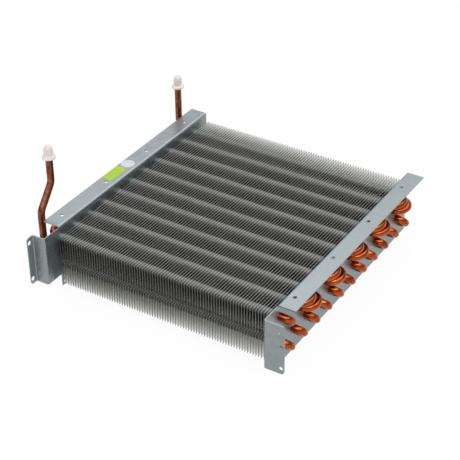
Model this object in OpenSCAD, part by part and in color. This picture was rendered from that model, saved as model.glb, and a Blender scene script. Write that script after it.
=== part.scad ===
// Condenser coil: two folded tube sheets, two stacks of fins, copper hairpins and return bends.
// X runs across the coil, Y along it away from the near upright, Z up.
// The origin is the centre of the flange hole pattern, on the top face of the flanges.

/* [Tubes] */
// Outside diameter of the copper tube
tube_od = 7.94; // [7:0.01:8.5]
// Wall of the copper tube
tube_wall = 0.5; // [0.3:0.05:0.8]
// Distance between neighbouring tubes of a row
tube_pitch = 25.7; // [24:0.1:27]
// Height between the two rows inside a fin stack
row_pitch = 13.4; // [12.5:0.1:16]
// Play between a tube and its hole in a sheet
sheet_play = 0.08; // [0.02:0.01:0.15]
// Play between a tube and its hole in a fin
fin_play = 0.02; // [0.01:0.01:0.05]

/* [Tube ends] */
// How far the belled ends stand out of the left sheet
end_reach = 3.8; // [3:0.1:6]
// Depth of the cup in a belled end
cup_depth = 2.8; // [2:0.1:3]
// Play between a cup and the tube in it
braze_play = 0.03; // [0.01:0.01:0.1]
// Straight stretch between a cup and the arc of a return bend
bend_neck = 0.3; // [0:0.1:2]

/* [Core] */
// Clear width between the two tube sheets
core_w = 263.2; // [200:0.1:300]
// Depth of the first row of tubes below the top flanges
first_row_depth = 15.3; // [14:0.1:20]
// Height of the open gap between the two fin stacks
stack_gap = 3.9; // [1:0.1:8]
// Distance from the near face to the first tube
first_tube_y = 29; // [28:0.1:40]
// Fin plate before the centre of the first tube
fin_margin = 11; // [8:0.1:12]
// Fin plate past the centre of the last tube
fin_past = 8.85; // [8:0.05:12]

/* [Fins] */
// Thickness of a fin
fin_t = 0.2; // [0.1:0.05:0.4]
// Distance from one fin to the next
fin_pitch = 3.175; // [3:0.005:5]
// Bare tube between the left sheet and the first fin
fin_gap_left = 5.35; // [3:0.05:12]
// Least bare tube between the last fin and the right sheet
fin_gap_right = 3.6; // [3:0.1:12]

/* [Tube sheets] */
// Thickness of the sheet metal
sheet_t = 1.2; // [0.8:0.1:1.5]
// Inside radius of every fold
fold_r = 1.2; // [0.5:0.1:1.5]
// Sheet below the centres of the lowest tubes
sheet_below = 14.9; // [9:0.1:18]
// Sheet past the centre of the last tube
sheet_past = 11.65; // [10:0.05:20]
// Width of the top flanges
flange_w = 20.5; // [20:0.1:24]
// Distance from the near face to the top flanges
flange_start = 25.5; // [20:0.1:32]
// Distance from the near face to the lower lip
lip_start = 23.5; // [18:0.1:26]
// Depth of the near upright's lower edge
upright_bottom = 59.3; // [55:0.1:68]
// Depth of the near upright's upper edge
upright_top = 1.5; // [0.5:0.1:3]
// Width of the right ear
right_ear_w = 23; // [22.5:0.1:28]
// Width of the left ear up to its second fold
left_ear_w = 15; // [12:0.1:18]
// Length of the left ear's folded side
side_ear_len = 9.1; // [9:0.1:14]
// Corner radius of the ears
ear_corner_r = 3.5; // [1:0.1:5]

/* [Screw holes] */
// Diameter of the flange holes
flange_hole_d = 4.5; // [3:0.1:6]
// Distance from the left sheet's inner face to its flange holes
left_flange_hole_out = 10.8; // [8:0.1:13]
// Distance from the right sheet's inner face to its flange holes
right_flange_hole_out = 8.5; // [8:0.1:13]
// Distance from the near face to the first flange hole
flange_hole_y = 45; // [35:0.5:55]
// Distance between the flange holes
flange_hole_pitch = 78; // [60:0.5:80]
// Diameter of the right ear's holes
right_hole_d = 4.5; // [3:0.1:5]
// Distance from the sheet's inner face to the right ear's middle and lower holes
right_hole_out = 19.5; // [15:0.1:19.5]
// Distance from the sheet's inner face to the right ear's upper hole
right_top_hole_out = 17.5; // [15:0.1:19]
// Depth of the right ear's upper hole
right_top_hole_depth = 8.8; // [7:0.1:12]
// Depth of the right ear's middle hole
right_mid_hole_depth = 26.8; // [20:0.1:34]
// Diameter of the left ear's holes
left_hole_d = 5.5; // [3:0.1:5.5]
// Distance from the near face to the left ear's holes
left_hole_reach = 5.8; // [5:0.1:6]
// Distance from the ends of an upright to its end holes
ear_hole_edge = 6.4; // [5:0.1:9]
// Diameter of the hole in the left lip
lip_hole_d = 4; // [2:0.1:4.5]
// Distance from the near end of the lip to its hole
lip_hole_in = 5; // [3:0.1:8]
// Distance from the lower edge of the lip to its hole
lip_hole_up = 5.5; // [3:0.1:6]

/* [Pipe stubs] */
// Bend radius of the elbows
elbow_r = 20; // [12:0.1:20]
// Distance from the left sheet's inner face to the inlet pipe
inlet_out = 25.7; // [25.5:0.1:32]
// Distance from the left sheet's inner face to the outlet pipe
outlet_out = 31.7; // [25.5:0.1:34]
// Height of the inlet pipe's end above the flanges
inlet_top = 71.4; // [60:0.1:90]
// Height of the outlet pipe's end above the flanges
outlet_top = 39.2; // [20:0.1:60]
// Height of the start of the inlet pipe's offset above the flanges
offset_start = 3.2; // [0:0.1:12]
// Angle of the inlet pipe's offset from upright
offset_angle = 38; // [20:1:45]
// Bend radius of the inlet pipe's offset
offset_r = 14; // [10:0.1:16]
// How far the offset moves the inlet pipe away from the near face
offset_shift = 20.4; // [15:0.1:22]

/* [Caps] */
// Wall of the caps
cap_wall = 0.8; // [0.4:0.1:1.5]
// Play between a cap and its pipe
cap_play = 0.03; // [0.01:0.01:0.1]
// Diameter of the flared rim
cap_rim_d = 14.6; // [12:0.1:18]
// Height of the flare
cap_flare_h = 2.2; // [1:0.1:4]
// Height of the straight skirt under the flare
cap_skirt_h = 1.6; // [0.5:0.1:3]
// How far a cap reaches down over its pipe
cap_overlap = 7.6; // [7.1:0.1:15]
// Room between the pipe's end and the start of the dome
cap_room = 2.6; // [0:0.1:4]

/* [Stickers] */
// Thickness of the stickers
sticker_t = 0.15; // [0.05:0.05:0.3]
// Width of the label across the flange
label_w = 13.5; // [8:0.1:14]
// Length of the label along the flange
label_len = 29; // [15:0.1:30]
// Distance from the centre of the second flange hole to the label
label_gap = 4.5; // [3.2:0.1:8]
// Diameter of the round sticker
round_sticker_d = 16; // [8:0.1:16]
// Bare flange between the label and the round sticker
sticker_gap = 2; // [0.5:0.1:8]
// Bare flange between its outer edge and the stickers
sticker_edge = 0.4; // [0.2:0.1:1.5]

/* [Hidden] */
// Each row holds this many tubes, and each flange this many holes
tubes_per_row = 11;
flange_holes = 4;

tube_r = tube_od / 2;
bore_r = tube_r - tube_wall;
cup_bore_r = tube_r + braze_play;
cup_r = cup_bore_r + tube_wall;
fold_outer_r = fold_r + sheet_t;

stack_h = 2 * row_pitch;
stack_pitch = stack_h + stack_gap;
sheet_h = first_row_depth + row_pitch + stack_pitch + sheet_below;
sheet_len = first_tube_y + (tubes_per_row - 0.5) * tube_pitch + sheet_past;
fin_near_y = first_tube_y - fin_margin;
fin_len = (tubes_per_row - 0.5) * tube_pitch + fin_margin + fin_past;
fin_count = 1 + floor((core_w - fin_gap_left - fin_gap_right) / fin_pitch);

// Where the sheets' inner faces stand, from the middle of the flange hole pattern
hole_span = left_flange_hole_out + core_w + right_flange_hole_out;
left_x = left_flange_hole_out - hole_span / 2;
right_x = hole_span / 2 - right_flange_hole_out;
// The near face lies this far from the middle of the pattern
near_y = -flange_hole_y - (flange_holes - 1) / 2 * flange_hole_pitch;
// Distance from the left sheet's inner face to the mouths of the belled ends
mouth_out = sheet_t + end_reach;

// The inlet pipe's offset is an arc, a slanted run and an arc back
offset_arc_rise = offset_r * sin(offset_angle);
offset_arc_shift = offset_r * (1 - cos(offset_angle));
offset_slant = (offset_shift - 2 * offset_arc_shift) / sin(offset_angle);
offset_end = offset_start + 2 * offset_arc_rise + offset_slant * cos(offset_angle);

cap_bore_r = tube_r + cap_play;
cap_r = cap_bore_r + cap_wall;

label_start = flange_hole_y + flange_hole_pitch + label_gap;
round_sticker_y = label_start + label_len + sticker_gap + round_sticker_d / 2;
// Height of the cutters for the screw holes
cut_h = 3 * sheet_t;

NARROW_FN = 24;
ROUND_FN = 48;
SWEEP_SIDES = 24;
ELBOW_STEP = 11.25;
OFFSET_STEPS = 4;
DOME_STEP = 10;

// Rows are counted from the top, and the even ones are shifted by half a pitch
function is_even(row) = row % 2 == 0;
function tube_y(row, k) = first_tube_y + (k - 1 + (is_even(row) ? 0.5 : 0)) * tube_pitch;
function tube_depth(row) =
    first_row_depth + (is_even(row) ? row_pitch : 0) + (row > 2 ? stack_pitch : 0);
// Place of a tube as [Y, Z], with Y from the near face
function tube_at(tube) = [tube_y(tube[0], tube[1]), -tube_depth(tube[0])];
// Pairs of neighbouring tubes in a row
function pairs(row, first, last) = [for (k = [first : 2 : last]) [[row, k], [row, k + 1]]];

// The two [row, tube] ends of each hairpin
HAIRPIN_ENDS = concat(
    [for (k = [1 : tubes_per_row]) [[3, k], [4, k]]],
    [[[1, 1], [2, 1]]],
    pairs(1, 2, tubes_per_row - 1),
    pairs(2, 2, tubes_per_row - 1)
);

// The two [row, tube] ends of each return bend
RETURN_ENDS = concat(
    [[[4, 1], [3, 2]]],
    pairs(4, 2, tubes_per_row - 1),
    pairs(3, 3, tubes_per_row - 2),
    [[[3, tubes_per_row], [1, tubes_per_row]]],
    pairs(1, 1, tubes_per_row - 2),
    pairs(2, 1, tubes_per_row - 2)
);

INLET_TUBE = [3, 1];
OUTLET_TUBE = [2, tubes_per_row];

function numbered(name, i) = str(name, i < 9 ? "_0" : "_", i + 1);
HAIRPINS = [for (i = [0 : len(HAIRPIN_ENDS) - 1]) numbered("hairpin", i)];
RETURN_BENDS = [for (i = [0 : len(RETURN_ENDS) - 1]) numbered("return_bend", i)];

// Measures X outwards from a sheet's inner face, and Y from the near face
module right_side() {
    translate([right_x, near_y, 0])
        children();
}

module left_side() {
    translate([left_x, near_y, 0])
        mirror([1, 0, 0])
            children();
}

// Stands an outline of the Y and Z plane up and gives it a thickness along X
module stand(thickness) {
    rotate([90, 0, 90])
        linear_extrude(thickness)
            children();
}

// Holes for the tubes of the given rows
module tube_holes(rows, play) {
    for (row = rows)
        for (k = [1 : tubes_per_row])
            translate(tube_at([row, k]))
                circle(r = tube_r + play, $fn = ROUND_FN);
}

// A quarter of a fold, from the X axis to the Y axis round the origin
module fold_outline() {
    intersection() {
        difference() {
            circle(r = fold_outer_r, $fn = ROUND_FN);
            circle(r = fold_r, $fn = NARROW_FN);
        }
        square(fold_outer_r);
    }
}

// A plate's outline with two round corners on its far side
module ear_outline(width, height, corner_r) {
    square([width - corner_r, height]);
    translate([0, corner_r])
        square([width, height - 2 * corner_r]);
    for (y = [corner_r, height - corner_r])
        translate([width - corner_r, y])
            circle(r = corner_r, $fn = ROUND_FN);
}

module sheet_web() {
    stand(sheet_t)
        difference() {
            polygon([
                [fold_outer_r, -upright_top],
                [flange_start, -upright_top],
                [flange_start, -fold_outer_r],
                [sheet_len, -fold_outer_r],
                [sheet_len, -sheet_h],
                [lip_start, -sheet_h],
                [lip_start, -upright_bottom],
                [fold_outer_r, -upright_bottom]
            ]);
            tube_holes([1 : 4], sheet_play);
        }
}

module top_flange(hole_out) {
    length = sheet_len - flange_start;
    translate([fold_outer_r, sheet_len, -fold_outer_r])
        rotate([90, -90, 0])
            linear_extrude(length)
                fold_outline();
    difference() {
        translate([fold_outer_r, flange_start, -sheet_t])
            cube([flange_w - fold_outer_r, length, sheet_t]);
        for (i = [0 : flange_holes - 1])
            translate([hole_out, flange_hole_y + i * flange_hole_pitch, -2 * sheet_t])
                cylinder(d = flange_hole_d, h = cut_h, $fn = NARROW_FN);
    }
}

// The fold from the web to the ear
module near_fold() {
    translate([fold_outer_r, fold_outer_r, -upright_bottom])
        rotate([0, 0, 180])
            linear_extrude(upright_bottom - upright_top)
                fold_outline();
}

module plain_sheet(hole_out) {
    sheet_web();
    top_flange(hole_out);
    near_fold();
}

module ear_hole(out, depth, d) {
    translate([out, 2 * sheet_t, -depth])
        rotate([90, 0, 0])
            cylinder(d = d, h = cut_h, $fn = NARROW_FN);
}

module right_ear() {
    difference() {
        translate([fold_outer_r, sheet_t, -upright_bottom])
            rotate([90, 0, 0])
                linear_extrude(sheet_t)
                    ear_outline(right_ear_w - fold_outer_r, upright_bottom - upright_top, ear_corner_r);
        ear_hole(right_top_hole_out, right_top_hole_depth, right_hole_d);
        ear_hole(right_hole_out, right_mid_hole_depth, right_hole_d);
        ear_hole(right_hole_out, upright_bottom - ear_hole_edge, right_hole_d);
    }
}

// The left ear turns a second time, towards the near side
module left_ear() {
    height = upright_bottom - upright_top;
    translate([fold_outer_r, 0, -upright_bottom])
        cube([left_ear_w - fold_r - fold_outer_r, sheet_t, height]);
    translate([left_ear_w - fold_r, -fold_r, -upright_bottom])
        linear_extrude(height)
            fold_outline();
    difference() {
        translate([left_ear_w, -fold_r, -upright_bottom])
            mirror([0, 1, 0])
                stand(sheet_t)
                    ear_outline(side_ear_len - fold_r, height, ear_corner_r);
        for (depth = [upright_top + ear_hole_edge, upright_bottom - ear_hole_edge])
            translate([left_ear_w - sheet_t, -left_hole_reach, -depth])
                rotate([0, 90, 0])
                    cylinder(d = left_hole_d, h = cut_h, $fn = NARROW_FN);
    }
}

module tube_sheet_right() {
    color("silver")
        right_side() {
            plain_sheet(right_flange_hole_out);
            right_ear();
        }
}

module tube_sheet_left() {
    color("lightslategray")
        left_side()
            difference() {
                union() {
                    plain_sheet(left_flange_hole_out);
                    left_ear();
                }
                translate([-sheet_t, lip_start + lip_hole_in, lip_hole_up - sheet_h])
                    rotate([0, 90, 0])
                        cylinder(d = lip_hole_d, h = cut_h, $fn = NARROW_FN);
            }
}

// Two rows of tubes share a stack of fins
module fin_stack(rows) {
    top = tube_depth(rows[0]) - row_pitch / 2;
    for (i = [0 : fin_count - 1])
        translate([left_x + fin_gap_left + i * fin_pitch, near_y, 0])
            stand(fin_t)
                difference() {
                    translate([fin_near_y, -top - stack_h])
                        square([fin_len, stack_h]);
                    tube_holes(rows, fin_play);
                }
}

module fins_upper() {
    color("gainsboro")
        fin_stack([1, 2]);
}

module fins_lower() {
    color("gainsboro")
        fin_stack([3, 4]);
}

module tube_outline() {
    rotate([0, 0, 90])
        difference() {
            circle(r = tube_r, $fn = ROUND_FN);
            circle(r = bore_r, $fn = NARROW_FN);
        }
}

module straight_tube(length) {
    linear_extrude(length)
        tube_outline();
}

// An arc of tube round the Z axis, from the X axis towards the Y axis
module tube_arc(radius, angle) {
    rotate_extrude(angle = angle, $fn = ROUND_FN)
        translate([radius, 0])
            tube_outline();
}

// Moves a U of tube that spans the X axis and opens against Y to two [Y, Z] places, bulging along X
module span(from, to) {
    middle = (from + to) / 2;
    across = from - to;
    translate([0, middle[0], middle[1]])
        rotate([atan2(across[1], across[0]), 0, 0])
            rotate([180, 0, 90])
                union()
                    children();
}

// A tube along Z from 0 to length, whose far end is opened out to a cup
module belled_tube(length) {
    taper_start = length - end_reach;
    cup_start = length - cup_depth;
    rotate_extrude($fn = ROUND_FN)
        polygon([
            [bore_r, 0],
            [tube_r, 0],
            [tube_r, taper_start],
            [cup_r, cup_start],
            [cup_r, length],
            [cup_bore_r, length],
            [cup_bore_r, cup_start],
            [bore_r, taper_start]
        ]);
}

// A tube bent double at the right, with its two belled ends at the left
module hairpin(ends) {
    from = tube_at(ends[0]);
    to = tube_at(ends[1]);
    bend_r = norm(from - to) / 2;
    leg = core_w + 2 * sheet_t + end_reach;
    color("peru")
        translate([right_x + sheet_t, near_y, 0])
            span(from, to) {
                tube_arc(bend_r, 180);
                for (side = [-1, 1])
                    translate([side * bend_r, 0, 0])
                        rotate([90, 0, 0])
                            belled_tube(leg);
            }
}

module return_bend(ends) {
    from = tube_at(ends[0]);
    to = tube_at(ends[1]);
    bend_r = norm(from - to) / 2;
    neck = cup_depth + bend_neck;
    color("chocolate")
        left_side()
            translate([mouth_out + bend_neck, 0, 0])
                span(from, to) {
                    tube_arc(bend_r, 180);
                    for (side = [-1, 1])
                        translate([side * bend_r, 0, 0])
                            rotate([90, 0, 0])
                                straight_tube(neck);
                }
}

// The way out of a cup and up beside the sheet, as far as the top of the elbow
module elbow(tube, out) {
    place = tube_at(tube);
    start = mouth_out - cup_depth;
    translate([start, place[0], place[1]])
        rotate([0, 90, 0])
            straight_tube(out - elbow_r - start);
    translate([out - elbow_r, place[0], place[1] + elbow_r])
        rotate([90, 90, 0])
            tube_arc(elbow_r, 90);
}

// A ring of points round a stop, given as its [place, side, other side]
function ring(stop, r) = [
    for (i = [0 : SWEEP_SIDES - 1])
        let (a = 360 * i / SWEEP_SIDES)
            stop[0] + r * (cos(a) * stop[1] + sin(a) * stop[2])
];

// Two triangles for each side between ring k and the next one, turned round where the wall faces inwards
function wall_faces(k, first, inwards) = [
    for (i = [0 : SWEEP_SIDES - 1])
        let (
            a = first + k * SWEEP_SIDES + i,
            b = first + k * SWEEP_SIDES + (i + 1) % SWEEP_SIDES,
            c = b + SWEEP_SIDES,
            d = a + SWEEP_SIDES
        )
            for (face = inwards ? [[a, b, c], [a, c, d]] : [[c, b, a], [d, c, a]])
                face
];

// The flat end between an outer ring that starts at point a and an inner ring that starts at point b
function end_faces(a, b, backwards) = [
    for (i = [0 : SWEEP_SIDES - 1])
        let (n = (i + 1) % SWEEP_SIDES)
            for (face = backwards
                ? [[b + n, b + i, a + i], [a + n, b + n, a + i]]
                : [[a + i, b + i, b + n], [a + i, b + n, a + n]])
                face
];

// A tube through a list of stops
module swept_tube(stops) {
    rings = len(stops);
    inner = rings * SWEEP_SIDES;
    last = inner - SWEEP_SIDES;
    points = [
        for (r = [tube_r, bore_r])
            for (stop = stops)
                for (point = ring(stop, r))
                    point
    ];
    walls = [
        for (k = [0 : rings - 2])
            for (face = concat(wall_faces(k, 0, false), wall_faces(k, inner, true)))
                face
    ];
    ends = concat(end_faces(0, inner, true), end_faces(last, inner + last, false));
    polyhedron(points, concat(walls, ends));
}

// Stops of an elbow that turns from X to Z, centred over the place where it starts
function elbow_stops(start, radius) = [
    for (a = [0 : ELBOW_STEP : 90])
        [start + radius * [sin(a), 0, 1 - cos(a)], [sin(a), 0, -cos(a)], [0, 1, 0]]
];

// Stops of an arc from the angle a to the angle b off upright, round a centre line
function offset_stops(centre, side, from, to) = [
    for (i = [0 : OFFSET_STEPS])
        let (a = from + (to - from) * i / OFFSET_STEPS)
            [centre + side * offset_r * [0, -cos(a), sin(a)], [1, 0, 0], [0, cos(a), -sin(a)]]
];

// The inlet pipe leaves its cup, turns up beside the sheet and steps away from the near side
module inlet_stub() {
    y = tube_at(INLET_TUBE)[0];
    z = tube_at(INLET_TUBE)[1];
    top_y = y + offset_shift;
    color("sienna")
        left_side()
            swept_tube(concat(
                [[[mouth_out - cup_depth, y, z], [0, 0, -1], [0, 1, 0]]],
                elbow_stops([inlet_out - elbow_r, y, z], elbow_r),
                offset_stops([inlet_out, y + offset_r, offset_start], 1, 0, offset_angle),
                offset_stops([inlet_out, top_y - offset_r, offset_end], -1, offset_angle, 0),
                [[[inlet_out, top_y, inlet_top], [1, 0, 0], [0, 1, 0]]]
            ));
}

module outlet_stub() {
    place = tube_at(OUTLET_TUBE);
    elbow_top = place[1] + elbow_r;
    color("sienna")
        left_side() {
            elbow(OUTLET_TUBE, outlet_out);
            translate([outlet_out, place[0], elbow_top])
                straight_tube(outlet_top - elbow_top);
        }
}

// A quarter circle over the room in a cap
function dome_arc(r, angles) = [for (a = angles) [r * cos(a), cap_room + r * sin(a)]];

// A soft cap with a flared rim, over a pipe that ends at height 0
module cap() {
    rim_z = -cap_overlap;
    skirt_z = rim_z + cap_skirt_h;
    flare_z = skirt_z + cap_flare_h;
    flare = cap_rim_d / 2 - cap_r;
    color("mistyrose")
        rotate_extrude($fn = ROUND_FN)
            polygon(concat(
                [[0, cap_room + cap_bore_r], [0, cap_room + cap_r]],
                dome_arc(cap_r, [90 - DOME_STEP : -DOME_STEP : 0]),
                [[cap_r, flare_z], [cap_r + flare, skirt_z], [cap_r + flare, rim_z]],
                [[cap_bore_r + flare, rim_z], [cap_bore_r + flare, skirt_z], [cap_bore_r, flare_z]],
                dome_arc(cap_bore_r, [0 : DOME_STEP : 90 - DOME_STEP])
            ));
}

module inlet_cap() {
    left_side()
        translate([inlet_out, tube_at(INLET_TUBE)[0] + offset_shift, inlet_top])
            cap();
}

module outlet_cap() {
    left_side()
        translate([outlet_out, tube_at(OUTLET_TUBE)[0], outlet_top])
            cap();
}

module label() {
    color("mediumseagreen")
        left_side()
            translate([flange_w - sticker_edge - label_w, label_start, 0])
                cube([label_w, label_len, sticker_t]);
}

module round_sticker() {
    color("white")
        left_side()
            translate([flange_w - sticker_edge - round_sticker_d / 2, round_sticker_y, 0])
                cylinder(d = round_sticker_d, h = sticker_t, $fn = ROUND_FN);
}

tube_sheet_left();
tube_sheet_right();
fins_upper();
fins_lower();
for (i = [0 : len(HAIRPINS) - 1])
    hairpin(HAIRPIN_ENDS[i]);
for (i = [0 : len(RETURN_BENDS) - 1])
    return_bend(RETURN_ENDS[i]);
inlet_stub();
outlet_stub();
inlet_cap();
outlet_cap();
label();
round_sticker();
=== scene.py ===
import math

import bpy
from mathutils import Matrix, Vector


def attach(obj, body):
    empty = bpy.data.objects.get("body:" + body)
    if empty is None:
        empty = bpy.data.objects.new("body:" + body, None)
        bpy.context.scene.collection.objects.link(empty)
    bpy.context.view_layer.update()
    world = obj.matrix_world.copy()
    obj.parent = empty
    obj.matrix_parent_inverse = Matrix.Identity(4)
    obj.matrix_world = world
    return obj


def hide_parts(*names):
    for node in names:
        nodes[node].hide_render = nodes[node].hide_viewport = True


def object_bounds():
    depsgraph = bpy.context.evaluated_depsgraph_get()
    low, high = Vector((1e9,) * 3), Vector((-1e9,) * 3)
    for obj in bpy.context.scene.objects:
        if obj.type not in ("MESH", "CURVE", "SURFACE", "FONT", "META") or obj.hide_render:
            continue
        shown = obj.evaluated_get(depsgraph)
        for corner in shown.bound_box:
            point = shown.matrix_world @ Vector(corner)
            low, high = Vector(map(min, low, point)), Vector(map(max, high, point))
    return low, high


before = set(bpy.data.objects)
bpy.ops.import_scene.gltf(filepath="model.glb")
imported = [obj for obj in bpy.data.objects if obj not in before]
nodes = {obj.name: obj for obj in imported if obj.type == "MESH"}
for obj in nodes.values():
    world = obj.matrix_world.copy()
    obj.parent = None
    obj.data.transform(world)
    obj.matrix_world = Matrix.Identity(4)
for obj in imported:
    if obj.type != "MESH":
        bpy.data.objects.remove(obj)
model_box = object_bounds()

MM = 0.001

# Places and sizes that the pieces share with the model

# Tube sheets and the mouths of the belled tube ends
LEFT_SHEET_X = -130.45
RIGHT_SHEET_X = 132.75
SHEET_T = 1.2
MOUTH_X = LEFT_SHEET_X - SHEET_T - 3.8

# Tubes
NEAR_FACE_Y = -162.0
FIRST_TUBE_Y = NEAR_FACE_Y + 29
TUBE_PITCH = 25.7
TUBES_PER_ROW = 11
ROW_PITCH = 13.4
ROW_Z = {1: -15.3, 2: -28.7, 3: -46.0, 4: -59.4}

# Fins, in an upper and a lower stack
FINS = 81
FIN_T = 0.2
FIN_PITCH = 3.175
FIRST_FIN_X = -125.1
LAST_FIN_X = FIRST_FIN_X + (FINS - 1) * FIN_PITCH
FIN_MIDDLE_Y = 0.85
FIN_REACH = 144.85
FIN_TOP_Z = -8.6
FIN_HEIGHT = 26.8
STACK_STEP = 30.7
# Width of the burred strip that shearing leaves on a fin, and of the matt strip of painted shade beside
# its ends
BURR_W = 0.5
END_SHADE_W = 1.0


def tube_y(row, k):
    """Y of tube k of a row; the even rows are shifted by half a pitch."""
    return FIRST_TUBE_Y + (k - 1 + (0.5 if row % 2 == 0 else 0)) * TUBE_PITCH


# Materials


def linear(hex_colour):
    """An sRGB colour such as "#C8CDD0" as linear RGBA."""
    shares = [int(hex_colour[i : i + 2], 16) / 255 for i in (1, 3, 5)]
    return [s / 12.92 if s <= 0.04045 else ((s + 0.055) / 1.055) ** 2.4 for s in shares] + [1.0]


def add(tree, kind, inputs=None, stops=(), **settings):
    """Adds a node with its settings. Inputs are values or the outputs of other nodes."""
    node = tree.nodes.new(kind)
    for name, value in settings.items():
        setattr(node, name, value)
    for socket, value in (inputs or {}).items():
        if isinstance(value, bpy.types.NodeSocket):
            tree.links.new(value, node.inputs[socket])
        else:
            node.inputs[socket].default_value = value
    for i, (place, colour) in enumerate(stops):
        points = node.color_ramp.elements
        point = points[i] if i < len(points) else points.new(place)
        point.position = place
        point.color = colour
    return node


def material(name):
    """A new material, its tree, its Principled shader and its Object coordinates."""
    made = bpy.data.materials.new(name)
    made.use_nodes = True
    tree = made.node_tree
    where = add(tree, "ShaderNodeTexCoord").outputs["Object"]
    return made, tree, tree.nodes["Principled BSDF"], where


def link(tree, output, shader, socket):
    tree.links.new(output, shader.inputs[socket])


# Mix nodes name three kinds of sockets alike, so their colours go by number
MIX_A, MIX_B, MIX_OUT = 6, 7, 2


def galvanised_sheet():
    """Hot dip galvanised steel: grey mirror under faint zinc crystals, with rolled streaks and scuffs."""
    made, tree, shader, where = material("galvanised_sheet")
    # Crystals of about 9 mm
    crystals = add(tree, "ShaderNodeTexVoronoi", {"Vector": where, "Scale": 1 / (9 * MM)})
    # Cloudy patches of about 40 mm
    clouds = add(tree, "ShaderNodeTexNoise", {"Vector": where, "Scale": 1 / (40 * MM), "Detail": 3.0})
    tone = add(
        tree,
        "ShaderNodeMix",
        {0: crystals.outputs["Color"], MIX_A: linear("#8B9294"), MIX_B: linear("#9CA3A5")},
        data_type="RGBA",
    )
    worn = add(
        tree,
        "ShaderNodeMix",
        {0: clouds.outputs["Fac"], MIX_A: tone.outputs[MIX_OUT], MIX_B: linear("#959C9E")},
        data_type="RGBA",
    )
    link(tree, worn.outputs[MIX_OUT], shader, "Base Color")
    gloss = add(
        tree,
        "ShaderNodeMapRange",
        {"Value": crystals.outputs["Color"], "To Min": 0.24, "To Max": 0.36},
    )
    link(tree, gloss.outputs["Result"], shader, "Roughness")
    # Grain of the rolled strip, 0.8 mm apart and drawn out along Y, which dims the mirror
    drawn = add(tree, "ShaderNodeMapping", {"Vector": where, "Scale": (1.0, 0.05, 1.0)})
    grain = add(tree, "ShaderNodeTexNoise", {"Vector": drawn.outputs["Vector"], "Scale": 1 / (0.8 * MM)})
    relief = add(
        tree,
        "ShaderNodeBump",
        {"Height": grain.outputs["Fac"], "Strength": 0.08, "Distance": 0.02 * MM},
    )
    link(tree, relief.outputs["Normal"], shader, "Normal")
    shader.inputs["Metallic"].default_value = 0.8
    return made


def fin_aluminium():
    """Bare aluminium fin stock: hazy from pressing oil, bright where it is cut, matt beside its ends and
    darkened there with painted shade.
    """
    made, tree, shader, where = material("fin_aluminium")
    haze = add(tree, "ShaderNodeTexNoise", {"Vector": where, "Scale": 1 / (12 * MM), "Detail": 2.0})
    face = add(
        tree,
        "ShaderNodeMix",
        {0: haze.outputs["Fac"], MIX_A: linear("#D8D9D6"), MIX_B: linear("#E2E3E0")},
        data_type="RGBA",
    )
    # Cut surfaces: all that doesn't face along X
    facing = add(tree, "ShaderNodeNewGeometry").outputs["Normal"]
    apart = add(tree, "ShaderNodeSeparateXYZ", {0: facing})
    sideways = add(tree, "ShaderNodeMath", {0: apart.outputs["X"]}, operation="ABSOLUTE")
    cut = add(tree, "ShaderNodeMath", {0: sideways.outputs[0], 1: 0.5}, operation="LESS_THAN")
    # Burred strip under the upper edges of both stacks
    spot = add(tree, "ShaderNodeSeparateXYZ", {0: where})
    drop = add(tree, "ShaderNodeMath", {0: FIN_TOP_Z * MM, 1: spot.outputs["Z"]}, operation="SUBTRACT")
    depth = add(tree, "ShaderNodeMath", {0: drop.outputs[0], 1: STACK_STEP * MM, 2: 0.0}, operation="WRAP")
    burr = add(tree, "ShaderNodeMath", {0: depth.outputs[0], 1: BURR_W * MM}, operation="LESS_THAN")
    # Matt strip at the near and far ends, darkened with painted shade
    aside = add(tree, "ShaderNodeMath", {0: spot.outputs["Y"], 1: FIN_MIDDLE_Y * MM}, operation="SUBTRACT")
    reach = add(tree, "ShaderNodeMath", {0: aside.outputs[0]}, operation="ABSOLUTE")
    end_shade_from = (FIN_REACH - END_SHADE_W) * MM
    painted_end_shade = add(tree, "ShaderNodeMath", {0: reach.outputs[0], 1: end_shade_from}, operation="GREATER_THAN")
    bright = add(tree, "ShaderNodeMath", {0: cut.outputs[0], 1: burr.outputs[0]}, operation="MAXIMUM")
    edge_or_end_shade = add(tree, "ShaderNodeMath", {0: bright.outputs[0], 1: painted_end_shade.outputs[0]}, operation="MAXIMUM")
    # The dark grey is painted shade on the strips beside the ends; the pale grey is for the cut and burred
    # edges
    edge_or_end_shade_tone = add(
        tree,
        "ShaderNodeMix",
        {0: bright.outputs[0], MIX_A: linear("#545652"), MIX_B: linear("#E0E0DF")},
        data_type="RGBA",
    )
    tone = add(
        tree,
        "ShaderNodeMix",
        {0: edge_or_end_shade.outputs[0], MIX_A: face.outputs[MIX_OUT], MIX_B: edge_or_end_shade_tone.outputs[MIX_OUT]},
        data_type="RGBA",
    )
    link(tree, tone.outputs[MIX_OUT], shader, "Base Color")
    # Smooth faces and matt edges
    gloss = add(tree, "ShaderNodeMapRange", {"Value": edge_or_end_shade.outputs[0], "To Min": 0.14, "To Max": 0.5})
    link(tree, gloss.outputs["Result"], shader, "Roughness")
    shader.inputs["Metallic"].default_value = 1.0
    return made


def collar_aluminium_and_shade():
    """Drawn collars of the fins: aluminium that is stretched, oily and matt, in darker greys that are
    partly painted shade from the close-set fins.
    """
    made, tree, shader, where = material("drawn_fin_collars_and_shade")
    haze = add(tree, "ShaderNodeTexNoise", {"Vector": where, "Scale": 1 / (6 * MM), "Detail": 2.0})
    # These greys are darker than the fins' own metal: partly the collars' oily finish, partly painted
    # shade of the fins round them
    tone = add(
        tree,
        "ShaderNodeMix",
        {0: haze.outputs["Fac"], MIX_A: linear("#7A7C7A"), MIX_B: linear("#8E908E")},
        data_type="RGBA",
    )
    link(tree, tone.outputs[MIX_OUT], shader, "Base Color")
    shader.inputs["Metallic"].default_value = 0.5
    shader.inputs["Roughness"].default_value = 0.45
    return made


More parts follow.
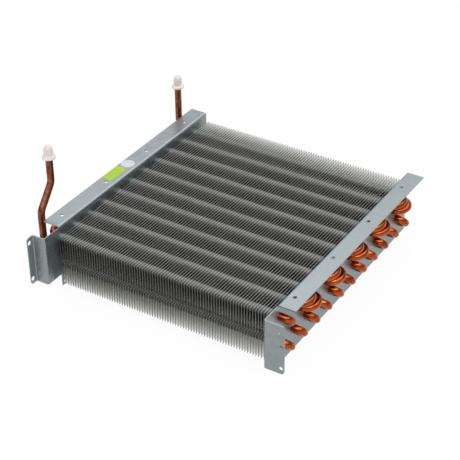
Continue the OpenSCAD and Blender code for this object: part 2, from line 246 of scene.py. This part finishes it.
def copper(name, dark, light, gloss_range, patch):
    """Drawn copper tube with patches of tarnish, given the patch size in millimetres."""
    made, tree, shader, where = material(name)
    tarnish = add(tree, "ShaderNodeTexNoise", {"Vector": where, "Scale": 1 / (patch * MM), "Detail": 4.0})
    shares = add(
        tree,
        "ShaderNodeMapRange",
        {"Value": tarnish.outputs["Fac"], "From Min": 0.35, "From Max": 0.65},
    )
    tone = add(
        tree,
        "ShaderNodeMix",
        {0: shares.outputs["Result"], MIX_A: linear(dark), MIX_B: linear(light)},
        data_type="RGBA",
    )
    link(tree, tone.outputs[MIX_OUT], shader, "Base Color")
    gloss = add(
        tree,
        "ShaderNodeMapRange",
        {"Value": shares.outputs["Result"], "To Min": gloss_range[1], "To Max": gloss_range[0]},
    )
    link(tree, gloss.outputs["Result"], shader, "Roughness")
    # Drawing lines and small dents, 2 mm apart
    dents = add(tree, "ShaderNodeTexNoise", {"Vector": where, "Scale": 1 / (2 * MM)})
    relief = add(
        tree,
        "ShaderNodeBump",
        {"Height": dents.outputs["Fac"], "Strength": 0.1, "Distance": 0.05 * MM},
    )
    link(tree, relief.outputs["Normal"], shader, "Normal")
    shader.inputs["Metallic"].default_value = 1.0
    return made


def braze_alloy():
    """Copper and phosphorus brazing alloy: greyish copper, matt and lumpy."""
    made, tree, shader, where = material("braze_alloy")
    lumps = add(tree, "ShaderNodeTexNoise", {"Vector": where, "Scale": 1 / (1.5 * MM), "Detail": 3.0})
    tone = add(
        tree,
        "ShaderNodeMix",
        {0: lumps.outputs["Fac"], MIX_A: linear("#7A5A4C"), MIX_B: linear("#B59A88")},
        data_type="RGBA",
    )
    link(tree, tone.outputs[MIX_OUT], shader, "Base Color")
    relief = add(
        tree,
        "ShaderNodeBump",
        {"Height": lumps.outputs["Fac"], "Strength": 0.3, "Distance": 0.2 * MM},
    )
    link(tree, relief.outputs["Normal"], shader, "Normal")
    shader.inputs["Metallic"].default_value = 1.0
    shader.inputs["Roughness"].default_value = 0.45
    return made


def cap_plastic():
    """Moulded polyethylene: milky, waxy and see-through where it is thin."""
    made, tree, shader, where = material("cap_plastic")
    milk = add(tree, "ShaderNodeTexNoise", {"Vector": where, "Scale": 1 / (4 * MM), "Detail": 2.0})
    tone = add(
        tree,
        "ShaderNodeMix",
        {0: milk.outputs["Fac"], MIX_A: linear("#EDE1DB"), MIX_B: linear("#F6EEEA")},
        data_type="RGBA",
    )
    link(tree, tone.outputs[MIX_OUT], shader, "Base Color")
    shader.inputs["Roughness"].default_value = 0.5
    shader.inputs["IOR"].default_value = 1.51
    shader.inputs["Transmission Weight"].default_value = 0.3
    return made


def label_film():
    """Plain yellow green label of coated paper, a little crinkled."""
    made, tree, shader, where = material("label_film")
    ink = add(tree, "ShaderNodeTexNoise", {"Vector": where, "Scale": 1 / (6 * MM), "Detail": 3.0})
    tone = add(
        tree,
        "ShaderNodeMix",
        {0: ink.outputs["Fac"], MIX_A: linear("#88AE12"), MIX_B: linear("#9EC31C")},
        data_type="RGBA",
    )
    link(tree, tone.outputs[MIX_OUT], shader, "Base Color")
    relief = add(
        tree,
        "ShaderNodeBump",
        {"Height": ink.outputs["Fac"], "Strength": 0.25, "Distance": 0.1 * MM},
    )
    link(tree, relief.outputs["Normal"], shader, "Normal")
    shader.inputs["Roughness"].default_value = 0.45
    return made


def sticker_film():
    """Plain round sticker of frosted film, pale against the zinc."""
    made, tree, shader, where = material("sticker_film")
    frost = add(tree, "ShaderNodeTexNoise", {"Vector": where, "Scale": 1 / (3 * MM), "Detail": 4.0})
    tone = add(
        tree,
        "ShaderNodeMix",
        {0: frost.outputs["Fac"], MIX_A: linear("#A9AEB0"), MIX_B: linear("#CDD0D2")},
        data_type="RGBA",
    )
    link(tree, tone.outputs[MIX_OUT], shader, "Base Color")
    shader.inputs["Roughness"].default_value = 0.4
    return made


ZINC = galvanised_sheet()
FIN_METAL = fin_aluminium()
SHADED_COLLAR_METAL = collar_aluminium_and_shade()
COPPER = copper("drawn_copper", "#963F1C", "#C25C28", (0.16, 0.27), 9)
STUB_COPPER = copper("tarnished_copper", "#74432F", "#A2664C", (0.26, 0.42), 6)
BRAZE = braze_alloy()
CAP = cap_plastic()
LABEL = label_film()
STICKER = sticker_film()


def finish_of(name):
    """The material and the record's slot of a node of the model."""
    if name.startswith("tube_sheet"):
        return ZINC, "galvanised_sheet"
    if name.startswith("fins"):
        return FIN_METAL, "fin_aluminium"
    if name.endswith("stub"):
        return STUB_COPPER, "copper_tube"
    if name.endswith("cap"):
        return CAP, "cap_plastic"
    if name == "label":
        return LABEL, "label_film"
    if name == "round_sticker":
        return STICKER, "sticker_film"
    return COPPER, "copper_tube"


for name, node in nodes.items():
    finish, slot = finish_of(name)
    node.data.materials.clear()
    node.data.materials.append(finish)


# Pieces made here


def start_piece(name):
    """Names the object that an operator just made and gives it back."""
    piece = bpy.context.object
    piece.name = name
    return piece


def finish_piece(piece, finish):
    """Applies the place and modifiers of a piece, gives it its finish and lets it ride on the coil."""
    bpy.ops.object.transform_apply(location=True, rotation=True, scale=True)
    for modifier in list(piece.modifiers):
        bpy.ops.object.modifier_apply(modifier=modifier.name)
    piece.data.materials.clear()
    piece.data.materials.append(finish)
    bpy.ops.object.shade_smooth_by_angle(angle=math.radians(50))
    piece.select_set(False)
    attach(piece, "root")


def repeat(piece, count, step):
    """Copies the mesh in a row."""
    row = piece.modifiers.new("row", "ARRAY")
    row.use_relative_offset = False
    row.use_constant_offset = True
    row.count = count
    row.constant_offset_displace = Vector(step) * MM


bpy.ops.object.select_all(action="DESELECT")


# Fins: the model's plates with plainer holes, whose rims lie under the collars

HOLE_R = 4.2
HOLE_SIDES = 16


def fin_stack(name, node, top_z, rows):
    """One plate is cut for the tubes of two rows and then repeated along the core."""
    bpy.ops.mesh.primitive_cylinder_add(
        vertices=HOLE_SIDES,
        radius=HOLE_R * MM,
        depth=5 * FIN_T * MM,
        location=Vector((FIRST_FIN_X + FIN_T / 2, tube_y(rows[0], 1), ROW_Z[rows[0]])) * MM,
        rotation=(0, math.radians(90), 0),
    )
    punch = start_piece("punch")
    bpy.ops.object.transform_apply(location=True, rotation=True, scale=True)
    repeat(punch, TUBES_PER_ROW, (0, TUBE_PITCH, 0))
    repeat(punch, 2, (0, TUBE_PITCH / 2, -ROW_PITCH))
    punch.select_set(False)
    bpy.ops.mesh.primitive_cube_add(
        size=MM,
        location=Vector((FIRST_FIN_X + FIN_T / 2, FIN_MIDDLE_Y, top_z - FIN_HEIGHT / 2)) * MM,
        scale=(FIN_T, 2 * FIN_REACH, FIN_HEIGHT),
    )
    fins = start_piece(name)
    holes = fins.modifiers.new("holes", "BOOLEAN")
    holes.operation = "DIFFERENCE"
    holes.solver = "EXACT"
    holes.object = punch
    repeat(fins, FINS, (FIN_PITCH, 0, 0))
    finish_piece(fins, FIN_METAL)
    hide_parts(node)
    bpy.data.objects.remove(punch)


fin_stack("plain_fins_upper", "fins_upper", FIN_TOP_Z, (1, 2))
fin_stack("plain_fins_lower", "fins_lower", FIN_TOP_Z - STACK_STEP, (3, 4))


# Each fin stands on the next with short collars, which hide the copper between them

COLLAR_R = 4.25
COLLAR_FOOT_R = 4.9
COLLAR_FOOT = 0.45
SLEEVE_SIDES = 16


def sleeves(name, rows, start_x, profile, count, finish):
    """Sleeves round the tubes of two rows. Their profile is a list of reach along X and radius."""
    first_y = tube_y(rows[0], 1)
    bpy.ops.mesh.primitive_circle_add(
        vertices=SLEEVE_SIDES,
        radius=profile[0][1] * MM,
        fill_type="NOTHING",
        location=Vector((start_x, first_y, ROW_Z[rows[0]])) * MM,
        rotation=(0, math.radians(90), 0),
    )
    piece = start_piece(name)
    bpy.ops.object.transform_apply(location=False, rotation=True, scale=False)
    bpy.ops.object.mode_set(mode="EDIT")
    bpy.ops.mesh.select_all(action="SELECT")
    for (before, old_r), (reach, radius) in zip(profile, profile[1:]):
        run = (reach - before) * MM
        bpy.ops.mesh.extrude_region_move(TRANSFORM_OT_translate={"value": (run, 0, 0)})
        share = radius / old_r
        centre = Vector((start_x + reach, first_y, ROW_Z[rows[0]])) * MM
        bpy.ops.transform.resize(value=(1, share, share), center_override=centre)
    bpy.ops.mesh.select_all(action="SELECT")
    bpy.ops.mesh.normals_make_consistent(inside=False)
    bpy.ops.object.mode_set(mode="OBJECT")
    if count > 1:
        repeat(piece, count, (FIN_PITCH, 0, 0))
    repeat(piece, TUBES_PER_ROW, (0, TUBE_PITCH, 0))
    repeat(piece, 2, (0, TUBE_PITCH / 2, -ROW_PITCH))
    finish_piece(piece, finish)


def collar_profile(length):
    """A collar with a flared foot."""
    return [(0, COLLAR_FOOT_R), (COLLAR_FOOT, COLLAR_R), (length, COLLAR_R)]


# From the rim of a bell down to the tube in it
FILLET = [(0, 4.6), (-0.4, 4.45), (-0.8, 4.15), (-1.1, 3.98)]

for stack, rows in (("upper", (1, 2)), ("lower", (3, 4))):
    profile = collar_profile(FIN_PITCH)
    sleeves("fin_collars_" + stack, rows, FIRST_FIN_X, profile, FINS - 1, SHADED_COLLAR_METAL)
    # The sheets have collars too, which reach the first and the last fin
    for side, start, end in (("left", LEFT_SHEET_X, FIRST_FIN_X), ("right", LAST_FIN_X, RIGHT_SHEET_X)):
        profile = collar_profile(end - start)
        sleeves("sheet_collars_" + side + "_" + stack, rows, start, profile, 1, ZINC)
    # Filler metal round the mouths of the belled tube ends
    sleeves("braze_fillets_" + stack, rows, MOUTH_X, FILLET, 1, BRAZE)


# Camera, at the viewing angle of the photograph

IMAGE_SIDE = 460
FOCAL_PIXELS = 1374.1
SENSOR = 36.0
CAMERA_AT = Vector((656.9, -1053.9, 793.0)) * MM
AZIMUTH, ELEVATION, ROLL = (math.radians(a) for a in (32.15, 33.77, -0.622))

ahead = Vector(
    (
        -math.sin(AZIMUTH) * math.cos(ELEVATION),
        math.cos(AZIMUTH) * math.cos(ELEVATION),
        -math.sin(ELEVATION),
    )
)
level = Vector((math.cos(AZIMUTH), math.sin(AZIMUTH), 0))
down = ahead.cross(level)
right = math.cos(ROLL) * level - math.sin(ROLL) * down
up = -(math.sin(ROLL) * level + math.cos(ROLL) * down)

camera_data = bpy.data.cameras.new("camera")
camera_data.sensor_width = SENSOR
camera_data.lens = SENSOR * FOCAL_PIXELS / IMAGE_SIDE
camera_data.clip_start, camera_data.clip_end = 0.05, 50
camera = bpy.data.objects.new("camera", camera_data)
camera.matrix_world = Matrix.Translation(CAMERA_AT) @ Matrix((right, up, -ahead)).transposed().to_4x4()
bpy.context.scene.collection.objects.link(camera)
bpy.context.scene.camera = camera


# Floor: white paper that the camera and mirrors see as plain white, with a faint shadow

FLOOR_SIDE = 8.0
FLOOR_ROOM = 0.2
# Shares of plain white in what mirrors and the camera see, and its strength in mirrors
MIRRORED_WHITE = 0.9
MOST_WHITE = 0.93
MIRRORED_STRENGTH = 0.8

bpy.ops.mesh.primitive_plane_add(size=FLOOR_SIDE, location=(0, 0, model_box[0].z - FLOOR_ROOM * MM))
floor = start_piece("floor")
paper = bpy.data.materials.new("white_paper_sweep")
paper.use_nodes = True
tree = paper.node_tree
tree.nodes.clear()
path = add(tree, "ShaderNodeLightPath")
seen = add(
    tree,
    "ShaderNodeMath",
    {0: path.outputs["Is Camera Ray"], 1: path.outputs["Is Transmission Ray"]},
    operation="MAXIMUM",
)
mirrored = add(
    tree,
    "ShaderNodeMath",
    {0: path.outputs["Is Glossy Ray"], 1: MIRRORED_WHITE},
    operation="MULTIPLY",
)
either = add(tree, "ShaderNodeMath", {0: seen.outputs[0], 1: mirrored.outputs[0]}, operation="MAXIMUM")
share = add(tree, "ShaderNodeMath", {0: either.outputs[0], 1: MOST_WHITE}, operation="MINIMUM")
lit = add(tree, "ShaderNodeBsdfDiffuse", {"Color": linear("#F2F2F2")})
glow = add(
    tree,
    "ShaderNodeMapRange",
    {"Value": seen.outputs[0], "To Min": MIRRORED_STRENGTH, "To Max": 1.0},
)
plain = add(tree, "ShaderNodeEmission", {"Color": (1, 1, 1, 1), "Strength": glow.outputs["Result"]})
mixed = add(
    tree,
    "ShaderNodeMixShader",
    {0: share.outputs[0], 1: lit.outputs[0], 2: plain.outputs[0]},
)
add(tree, "ShaderNodeOutputMaterial", {"Surface": mixed.outputs[0]})
floor.data.materials.append(paper)
floor.select_set(False)


# Light: a dome that is brightest halfway up, and one soft box

DOME_STRENGTH = 2.2

world = bpy.data.worlds.new("studio_dome")
bpy.context.scene.world = world
world.use_nodes = True
tree = world.node_tree
tree.nodes.clear()
where = add(tree, "ShaderNodeTexCoord").outputs["Generated"]
height = add(tree, "ShaderNodeSeparateXYZ", {0: where})
# By the sine of the height: dark at the horizon, bright from 35 degrees up, grey overhead
dome = add(
    tree,
    "ShaderNodeValToRGB",
    {"Fac": height.outputs["Z"]},
    stops=(
        (0.0, (0.15, 0.15, 0.15, 1)),
        (0.44, (0.18, 0.18, 0.19, 1)),
        (0.50, (0.39, 0.39, 0.40, 1)),
        (0.61, (0.98, 0.99, 1.0, 1)),
        (0.75, (0.92, 0.92, 0.92, 1)),
        (0.90, (0.40, 0.40, 0.40, 1)),
        (1.0, (0.35, 0.35, 0.35, 1)),
    ),
)
around = add(tree, "ShaderNodeBackground", {"Color": dome.outputs["Color"], "Strength": DOME_STRENGTH})
white = add(tree, "ShaderNodeBackground", {"Color": (1, 1, 1, 1), "Strength": 1.0})
path = add(tree, "ShaderNodeLightPath")
chosen = add(
    tree,
    "ShaderNodeMixShader",
    {0: path.outputs["Is Camera Ray"], 1: around.outputs[0], 2: white.outputs[0]},
)
add(tree, "ShaderNodeOutputWorld", {"Surface": chosen.outputs[0]})


def soft_box(name, place, target, size, power):
    """A square lamp, with its place and target in metres and its power in watts."""
    data = bpy.data.lights.new(name, "AREA")
    data.shape = "SQUARE"
    data.size = size
    data.energy = power
    lamp = bpy.data.objects.new(name, data)
    lamp.location = place
    aim = Vector(target) - Vector(place)
    lamp.rotation_euler = aim.to_track_quat("-Z", "Y").to_euler()
    bpy.context.scene.collection.objects.link(lamp)


soft_box("key_light", (1.2, -0.6, 1.4), (0.1, 0, 0), 0.9, 8)

bpy.context.scene.view_settings.view_transform = "Standard"

# Light reaches deep between the bright fins only after many reflections
DEEPEST_BOUNCE = 32
bpy.context.scene.cycles.max_bounces = DEEPEST_BOUNCE
bpy.context.scene.cycles.glossy_bounces = DEEPEST_BOUNCE
